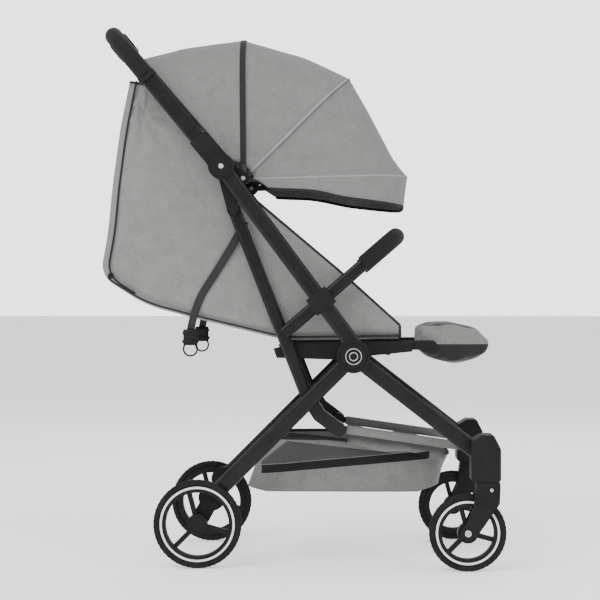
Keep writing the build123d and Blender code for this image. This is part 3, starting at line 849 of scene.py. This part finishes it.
# ---- Recline straps, buckles and rings
# Flat black webbing from the shell's sides down to a squeeze buckle with a
# finger ring, one each side.
webbing, inputs, place = new_finish("black_webbing", {"Specular IOR Level": 0.3})
ribbing = ((place.part(0) + place.part(2) * 0.5) * 5200.0).wave() * (place.part(2) * 2400.0).wave()
fuzz = place.grain(260.0, 3.0)
feed(inputs, Base_Color=fuzz.mix((0.009, 0.009, 0.01, 1), (0.03, 0.03, 0.031, 1)),
     Roughness=0.58 + fuzz * 0.25, Normal=(ribbing + fuzz).relief(0.5, 0.0005))
strap_route = [(-281, 440), (-276, 466), (-262, 506), (-240, 540), (-218, 575), (-196, 612), (-178, 648)]
strap_side = 151.4
straps = []
for sign in (-1, 1):
    route = [smooth_line(strap_route, k / 30, 0.06) for k in range(31)]
    straps.append(ribbon([spot(x, sign * strap_side, z) for x, z in route], (0, 1, 0), 0.015, 0.0016))
strap = face_out(plain_mesh("recline_strap_webbing", straps, webbing))
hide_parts("recline_straps")
stow(strap, "frame")
buckle_centre = (-281.0, 429.0)
buckle_side = 151.2
buckles = []
for sign in (-1, 1):
    for low_z, high_z, wide, thick in ((414, 444, 0.027, 0.008), (418, 424, 0.031, 0.0095),
                                       (434, 440, 0.03, 0.0095)):
        buckles.append(ribbon([spot(buckle_centre[0], sign * buckle_side, low_z + (high_z - low_z) * k / 6)
                               for k in range(7)], (0, 1, 0), wide, thick, 16))
buckle = face_out(plain_mesh("strap_squeeze_buckles", buckles, moulded))
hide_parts("strap_buckles")
stow(buckle, "frame")
ring_centre = (buckle_centre[0], buckle_centre[1] - 22)
ring_side = 151.0
ring_wire = 0.0034
rings = [ribbon(circle(ring_centre, 13.0, sign * ring_side, 40), (0, 1, 0), ring_wire, ring_wire, 10, True)
         for sign in (-1, 1)]
loop = face_out(plain_mesh("strap_finger_rings", rings, moulded))
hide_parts("strap_rings")
stow(loop, "frame")
snap_side = 149.6
snaps = [screw_head(-432, sign * snap_side, 545, 6.0, sign) for sign in (-1, 1)]
stow(face_out(plain_mesh("shell_edge_snaps", snaps, moulded)), "frame")


# ---- Basket
# A grey cloth tub hung between the rails by two sleeves. Each side has a panel
# with a net pattern, which is closed cloth, and a black band along it.
basket_cloth, inputs, place = new_finish("basket_cloth_and_net", {"Specular IOR Level": 0.15,
                                                                  "Sheen Weight": 0.06})
x = place.part(0)
z = place.part(2)
yarn = place.grain(480.0, 3.0) * 0.7 + place.grain(40.0, 4.0) * 0.3
cloth_colour = ((yarn - 0.32) * 2.4).mix((0.12, 0.118, 0.113, 1), (0.21, 0.207, 0.2, 1))
mesh_thread = 2 * pi / 0.0034
net = ((x + z) * mesh_thread).wave() * ((x - z) * mesh_thread).wave()
net_colour = (net > 0.2).mix((0.018, 0.018, 0.018, 1), (0.13, 0.129, 0.125, 1))
band_line = 0.1753 + (x + 0.073) * 0.0914
sides = place.part(1).size() > 0.09
in_net = (z > band_line + 0.009) * (z < 0.2275 - x * 0.11) * (x > (z - 0.204) * 1.22 - 0.058)
in_net = in_net * (x < 0.19) * sides
body_colour = in_net.mix(cloth_colour, net_colour)
band = ((z - band_line).size() < 0.0078) * (x > -0.075) * (x < 0.245) * sides
feed(inputs, Base_Color=band.mix(body_colour, (0.011, 0.011, 0.012, 1)),
     Roughness=0.74 + yarn * 0.18, Normal=(yarn + net * 0.3).relief(0.4, 0.0007))
basket_half = 116.0
basket_limit = 117.4
rim_front = 212.0
rim_back = -137.0
base_front = 192.0
base_back = -176.0


def basket_loop(depth, draw):
    """A loop round the basket at a depth of 0 at its rim and 1 at its bottom, drawn in by draw."""
    points = []
    front = rim_front + (base_front - rim_front) * depth ** 1.6 - 6.0 * sin(pi * depth)
    back = rim_back + (base_back - rim_back) * depth ** 0.8
    steps = 112
    for k in range(steps):
        turn = 2 * pi * k / steps
        c = cos(turn)
        s = sin(turn)
        c = abs(c) ** 0.36 * (1 if c > 0 else -1)
        s = abs(s) ** 0.36 * (1 if s > 0 else -1)
        x = (front + back) / 2 + c * (front - back) / 2 * draw
        top = 235.0 - max(0.0, x + 2) * 0.145
        bottom = 134.2 + max(0.0, x - 150) * 0.3 + max(0.0, -140 - x) * 0.2 + (1 - draw) * 2.0
        z = top + (bottom - top) * depth
        waves = 1.7 * sin(x * 0.062 + depth * 4.0) + 1.1 * sin(x * 0.14 - depth * 6.0)
        fold = sin(pi * min(1.0, depth * 1.1)) * waves
        y = s * (basket_half - 2.0) * draw
        if draw > 0.9:
            y += fold * (1 if s > 0 else -1) * min(1.0, abs(s) * 1.1) - 0.8 * (1 if s > 0 else -1)
        points.append((x, max(-basket_limit, min(basket_limit, y)), z))
    return points


loops = [basket_loop(step / 16, 1.0) for step in range(17)]
loops += [basket_loop(1.0, draw) for draw in (0.94, 0.84, 0.68, 0.5, 0.3, 0.12)]
around = len(loops[0])
points = [spot(*p) for loop in loops for p in loop]
faces = [(a * around + k, a * around + (k + 1) % around,
          (a + 1) * around + (k + 1) % around, (a + 1) * around + k)
         for a in range(len(loops) - 1) for k in range(around)]
faces.append(tuple(range((len(loops) - 1) * around, len(loops) * around)))
bag = plain_mesh("basket_tub", [(points, faces)], basket_cloth)
wall = bag.modifiers.new("wall", "SOLIDIFY")
wall.thickness = 0.0018
wall.offset = 0.0
bag = face_out(settle(bag))
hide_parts("basket")
around_rim = sum((Vector(spot(*b)) - Vector(spot(*a))).length for a, b in zip(loops[0], loops[0][1:]))
stow(bag, "basket_frame")
rail_side = 133.0
sleeves = []
for sign in (-1, 1):
    rail = [(14 + (226 - 14) * k / 24, 254 - (254 - 224) * k / 24) for k in range(25)]
    sleeves.append(ribbon([spot(x, sign * rail_side, z - 0.2) for x, z in rail], (0, 1, 0), 0.0168, 0.0168, 14))
    hang = [(16 + (200 - 16) * k / 24, 246 - (246 - 222) * k / 24) for k in range(25)]
    sleeves.append(ribbon([spot(x, sign * 124.5, z - 12 + 3 * sin(x * 0.06)) for x, z in hang],
                          (0, 0.75, sign * 0.66), 0.026, 0.0016, 12))
sleeve = face_out(plain_mesh("basket_rail_sleeves", sleeves, basket_cloth))
stow(sleeve, "basket_frame")
rim_tape = ribbon([spot(*p) for p in loops[0]], (0, 0, 1), 0.0035, 0.006, 10, True)
stow(face_out(plain_mesh("basket_rim_tape", [rim_tape], tape)), "basket_frame")


# ---- Harness
# Two black shoulder straps on the backrest, a crotch strap and a lap strap, held
# by a round-cornered buckle over the seat.
shoulder_wide = 0.026
lap_wide = 0.024
harness_thick = 0.0018
shoulder = []
for sign in (-1, 1):
    route = [(-420, 566), (-380, 549), (-300, 520), (-200, 485), (-130, 466), (-104, 470)]
    run = [smooth_line(route, k / 40, 0.05) for k in range(41)]
    shoulder.append(ribbon([spot(x, sign * (62 - 34 * k / 40), z + 15) for k, (x, z) in enumerate(run)],
                           (0.34, 0, 0.94), shoulder_wide, harness_thick))
stow(face_out(plain_mesh("harness_shoulder_straps", shoulder, webbing)), "backrest")
lap = []
for sign in (-1, 1):
    run = [(-70 + 8 * k / 16, sign * (112 - 96 * k / 16), 466 + 20 * sin(pi / 2 * k / 16)) for k in range(17)]
    lap.append(ribbon([spot(*p) for p in run], (0, 0, 1), lap_wide, harness_thick))
lap.append(ribbon([spot(-10 - 44 * k / 12, 0, 463 + 23 * sin(pi / 2 * k / 12)) for k in range(13)],
                  (0.45, 0, 0.9), lap_wide, harness_thick))
stow(face_out(plain_mesh("harness_lap_straps", lap, webbing)), "frame")
clasp = [ribbon([spot(-80 + 40 * k / 8, 0, 489 + 2 * sin(pi * k / 8)) for k in range(9)],
                (0, 0, 1), 0.036, 0.011, 18),
         ribbon([spot(-70 + 20 * k / 8, 0, 495) for k in range(9)], (0, 0, 1), 0.018, 0.004, 18)]
stow(face_out(plain_mesh("harness_buckle", clasp, moulded)), "frame")


# ---- Floor, light and camera
# A wide pale floor with soft light from above on both sides, and a long lens
# that looks across the stroller from its right-hand side.
floor_paint, inputs, place = new_finish("pale_floor", {"Specular IOR Level": 0.1, "Emission Strength": 0.55,
                                                 "Emission Color": (1, 1, 1, 1)})
feed(inputs, Base_Color=place.grain(1.3, 3.0).mix((0.9, 0.9, 0.9, 1), (0.94, 0.94, 0.94, 1)),
     Roughness=0.6 + place.grain(4.0) * 0.1)
floor_mesh = bpy.data.meshes.new("floor")
floor_end = 40
floor_level = -0.0006
floor_corners = [(-floor_end, -floor_end), (floor_end, -floor_end),
                 (floor_end, floor_end), (-floor_end, floor_end)]
floor_mesh.from_pydata([(x, y, floor_level) for x, y in floor_corners], [], [(0, 1, 2, 3)])
floor_mesh.materials.append(floor_paint)
floor = bpy.data.objects.new("floor", floor_mesh)
bpy.context.scene.collection.objects.link(floor)
world = bpy.data.worlds.new("studio")
bpy.context.scene.world = world
world.use_nodes = True
sky = world.node_tree.nodes["Background"]
sky.inputs["Color"].default_value = (0.97, 0.98, 1.0, 1)
straight = world.node_tree.nodes.new("ShaderNodeLightPath")
glow = Shade(world.node_tree, straight.outputs["Is Camera Ray"]) * 1.9 + 0.95
world.node_tree.links.new(glow.socket, sky.inputs["Strength"])
aim = Vector((0.0, 0.0, 0.45))
for name, where, size, power in (("key", (-1.6, -2.6, 3.0), 2.4, 110.0),
                                 ("fill", (2.6, -1.8, 2.2), 2.4, 45.0),
                                 ("back", (0.4, 2.8, 3.0), 2.6, 60.0)):
    lamp = bpy.data.lights.new(name, "AREA")
    lamp.size = size
    lamp.energy = power
    light = bpy.data.objects.new(name, lamp)
    light.location = where
    light.rotation_euler = (aim - Vector(where)).to_track_quat("-Z", "Y").to_euler()
    bpy.context.scene.collection.objects.link(light)
lens = bpy.data.cameras.new("camera")
lens.lens = 112.8
lens.sensor_width = 36.0
camera = bpy.data.objects.new("camera", lens)
camera.location = (0.0735, -3.7, 0.5106)
camera.rotation_euler = (radians(89.82), 0, radians(1.19))
bpy.context.scene.collection.objects.link(camera)
bpy.context.scene.camera = camera
